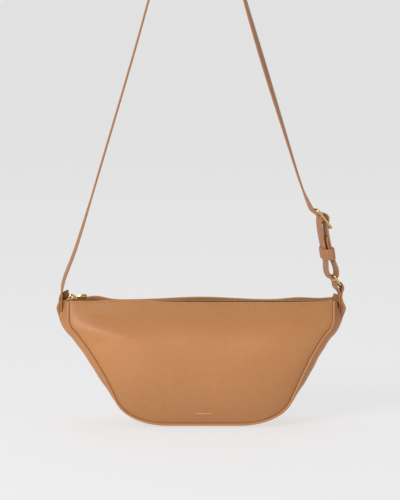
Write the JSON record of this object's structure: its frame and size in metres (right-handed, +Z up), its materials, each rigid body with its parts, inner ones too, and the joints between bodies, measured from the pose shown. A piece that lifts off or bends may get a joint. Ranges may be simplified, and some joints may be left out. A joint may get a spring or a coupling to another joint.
{
  "type": "sling bag",
  "caption": "Small tan leather sling bag, flared boat shape with top zip, gusset ears and buckled shoulder strap, hanging by the strap.",
  "frame": {"origin": "underside of the strap's top bend, where the bag hangs", "axes": "+Z up along the hanging strap, X across the bag with the buckle at +X, -Y the front"},
  "size_m": [0.334, 0.0828, 0.6542],
  "materials": {
    "leather_body": "smooth fine-grain tan leather, soft sheen",
    "leather_piping": "tan leather rolled over a cord, soft sheen",
    "leather_strap": "smooth tan strap leather, stitched, waxed edges",
    "lining_cloth": "plain woven cotton lining",
    "board": "stiff fibre board",
    "zip_tape": "woven zip tape, tan",
    "zip_brass": "antique brass teeth",
    "brass": "polished pale brass"
  },
  "bodies": {
    "strap": {"shoulder_strap": "leather_strap", "adjuster_strap": "leather_strap", "buckle_frame": "brass", "ring_tab": "leather_strap"},
    "bag": {"front_panel": "leather_body", "back_panel": "leather_body", "gusset": "leather_body", "front_piping": "leather_piping", "back_piping": "leather_piping", "left_ear": "leather_body", "right_ear": "leather_body", "lining_front": "lining_cloth", "lining_back": "lining_cloth", "lining_gusset": "lining_cloth", "inner_slip_pocket": "lining_cloth", "base_board": "board", "zip_tape_front": "zip_tape", "zip_tape_back": "zip_tape", "zip_teeth_front": "zip_brass", "zip_teeth_back": "zip_brass", "zip_end_stop": "zip_brass"},
    "slider": {"zip_slider": "brass"},
    "puller": {"zip_puller": "brass"},
    "ring": {"strap_ring": "brass"},
    "keeper": {"keeper_loop": "leather_strap"},
    "prong": {"buckle_prong": "brass"}
  },
  "joints": [
    {"name": "bag_swing", "type": "hinge", "parent": "strap", "child": "bag", "pos_m": [0, 0, -0.5069], "axis": [1, 0, 0], "range_deg": [-30, 30]},
    {"name": "zip_slide", "type": "slide", "parent": "bag", "child": "slider", "axis": [1, 0, 0], "range_m": [0, 0.285]},
    {"name": "puller_flip", "type": "hinge", "parent": "slider", "child": "puller", "pos_m": [-0.1434, 0, -0.5069], "axis": [0, -1, 0], "range_deg": [0, 100]},
    {"name": "ring_rock", "type": "hinge", "parent": "strap", "child": "ring", "pos_m": [0.1622, 0, -0.492], "axis": [0, 1, 0], "range_deg": [-3, 5]},
    {"name": "keeper_slide", "type": "slide", "parent": "strap", "child": "keeper", "axis": [-0.141, 0, 0.99], "range_m": [-0.004, 0.004]},
    {"name": "prong_lift", "type": "hinge", "parent": "strap", "child": "prong", "pos_m": [0.144, 0, -0.4154], "axis": [0, -1, 0], "range_deg": [0, 55]}
  ]
}
